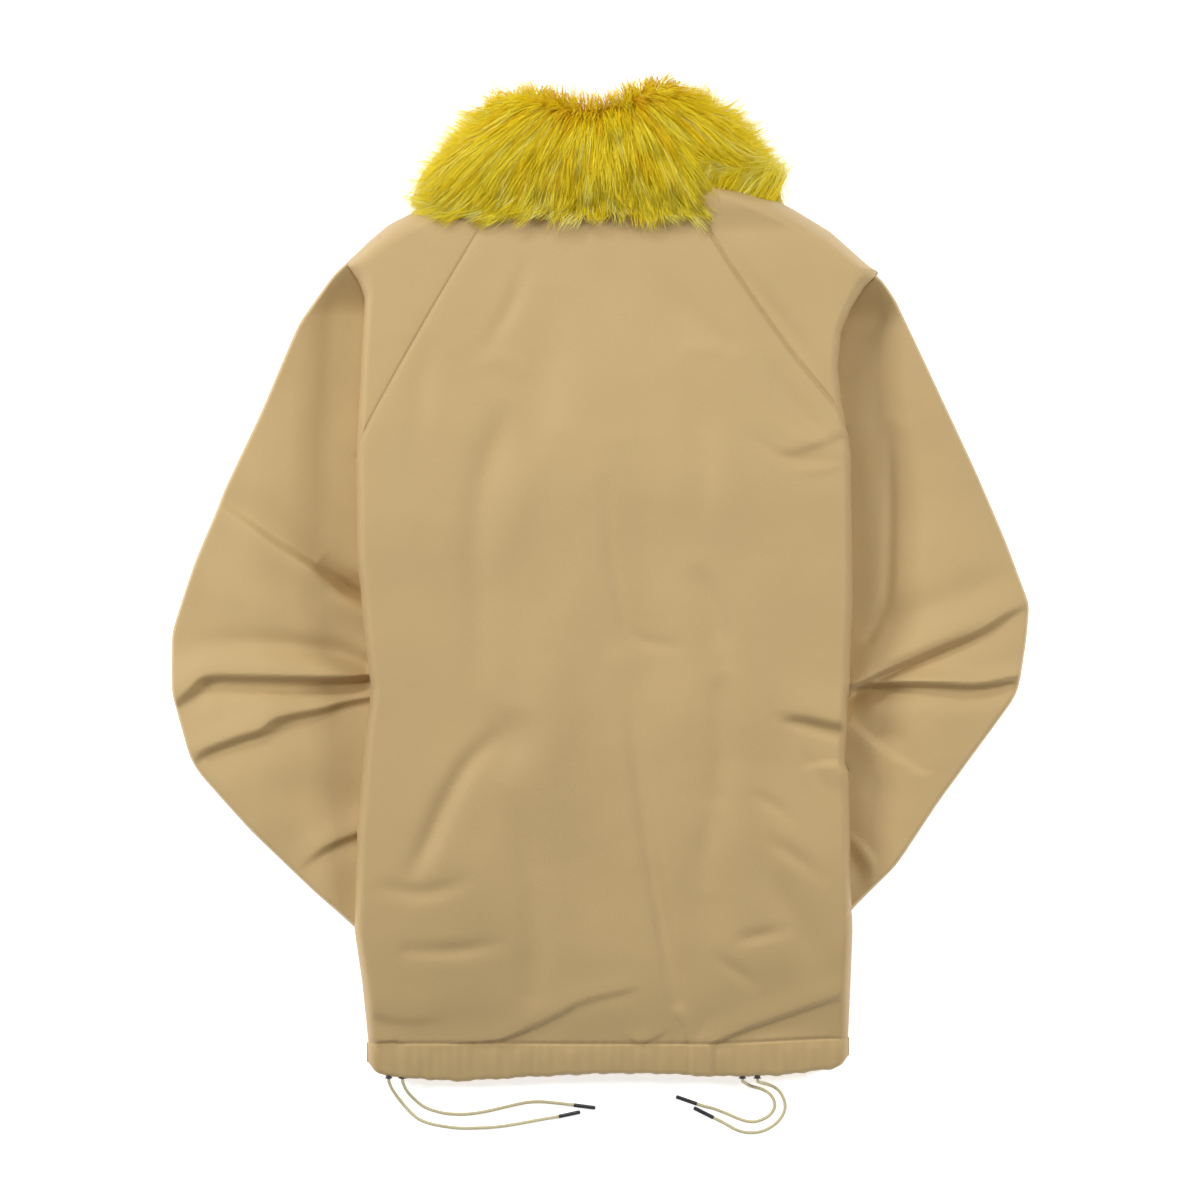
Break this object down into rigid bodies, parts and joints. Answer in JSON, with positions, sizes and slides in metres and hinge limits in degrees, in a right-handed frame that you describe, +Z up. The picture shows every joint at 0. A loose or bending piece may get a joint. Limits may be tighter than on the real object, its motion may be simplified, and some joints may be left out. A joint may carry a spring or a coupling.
{
  "type": "raglan jacket with fur collar",
  "caption": "Khaki raglan coach jacket lying face down, sleeves folded under, with a bright yellow long-pile fur collar and a corded hem.",
  "frame": {"origin": "on the resting surface, under the middle of the jacket's box without its free cords", "axes": "+Z up from the surface and out of the jacket's back, +Y from the hem to the collar, +X to the wearer's right"},
  "size_m": [0.7436, 0.9147, 0.107],
  "materials": {
    "cloth": "fine twill, soft satin sheen",
    "lining": "smooth taffeta",
    "fur": "long synthetic pile",
    "cord": "braided cotton",
    "elastic": "ribbed elastic",
    "gunmetal": "dark nickel, satin",
    "label": "woven tape"
  },
  "bodies": {
    "jacket": {"back_panel": "cloth", "left_yoke_back": "cloth", "left_yoke_front": "cloth", "right_yoke_back": "cloth", "right_yoke_front": "cloth", "left_front": "cloth", "right_front": "cloth", "back_lining": "lining", "left_front_lining": "lining", "right_front_lining": "lining", "hem_casing_back": "cloth", "hem_casing_left": "cloth", "hem_casing_right": "cloth", "hem_eyelets": "gunmetal", "hem_drawcord": "cord", "front_drawcords": "cord", "placket_facing": "cloth", "snap_caps": "gunmetal", "snap_posts": "gunmetal", "snap_sockets": "gunmetal", "snap_studs": "gunmetal", "left_pocket_welt": "cloth", "right_pocket_welt": "cloth", "left_pocket_bag": "lining", "right_pocket_bag": "lining", "collar_stand": "cloth", "undercollar_sides": "cloth", "fur_left": "fur", "fur_right": "fur", "hang_loop": "cloth", "size_label": "label"},
    "collar_back": {"undercollar_back": "cloth", "fur_back": "fur"},
    "left_arm": {"left_upper_sleeve": "cloth", "left_upper_lining": "lining"},
    "right_arm": {"right_upper_sleeve": "cloth", "right_upper_lining": "lining"},
    "left_lower_arm": {"left_forearm": "cloth", "left_forearm_lining": "lining", "left_cuff": "cloth", "left_cuff_elastic": "elastic"},
    "right_lower_arm": {"right_forearm": "cloth", "right_forearm_lining": "lining", "right_cuff": "cloth", "right_cuff_elastic": "elastic"},
    "left_cords": {"cord_end_a": "cord", "cord_end_b": "cord", "aglet_a": "gunmetal", "aglet_b": "gunmetal"},
    "right_cords": {"cord_end_c": "cord", "cord_end_d": "cord", "aglet_c": "gunmetal", "aglet_d": "gunmetal"}
  },
  "joints": [
    {"name": "collar_turn", "type": "hinge", "parent": "jacket", "child": "collar_back", "pos_m": [0, 0.412, 0.086], "axis": [-1, 0, 0], "range_deg": [0, 150]},
    {"name": "left_shoulder", "type": "hinge", "parent": "jacket", "child": "left_arm", "pos_m": [-0.215, 0.235, 0.035], "axis": [0, 0, -1], "range_deg": [0, 35]},
    {"name": "left_elbow", "type": "hinge", "parent": "left_arm", "child": "left_lower_arm", "pos_m": [-0.298, -0.09, 0.03], "axis": [0, 0, -1], "range_deg": [0, 40]},
    {"name": "right_shoulder", "type": "hinge", "parent": "jacket", "child": "right_arm", "pos_m": [0.215, 0.235, 0.035], "axis": [0, 0, 1], "range_deg": [0, 35]},
    {"name": "right_elbow", "type": "hinge", "parent": "right_arm", "child": "right_lower_arm", "pos_m": [0.298, -0.09, 0.03], "axis": [0, 0, 1], "range_deg": [0, 40]},
    {"name": "left_cord_slide", "type": "slide", "parent": "jacket", "child": "left_cords", "axis": [0, -1, 0], "range_m": [0, 0.02]},
    {"name": "right_cord_slide", "type": "slide", "parent": "jacket", "child": "right_cords", "axis": [0, -1, 0], "range_m": [0, 0.02]}
  ]
}
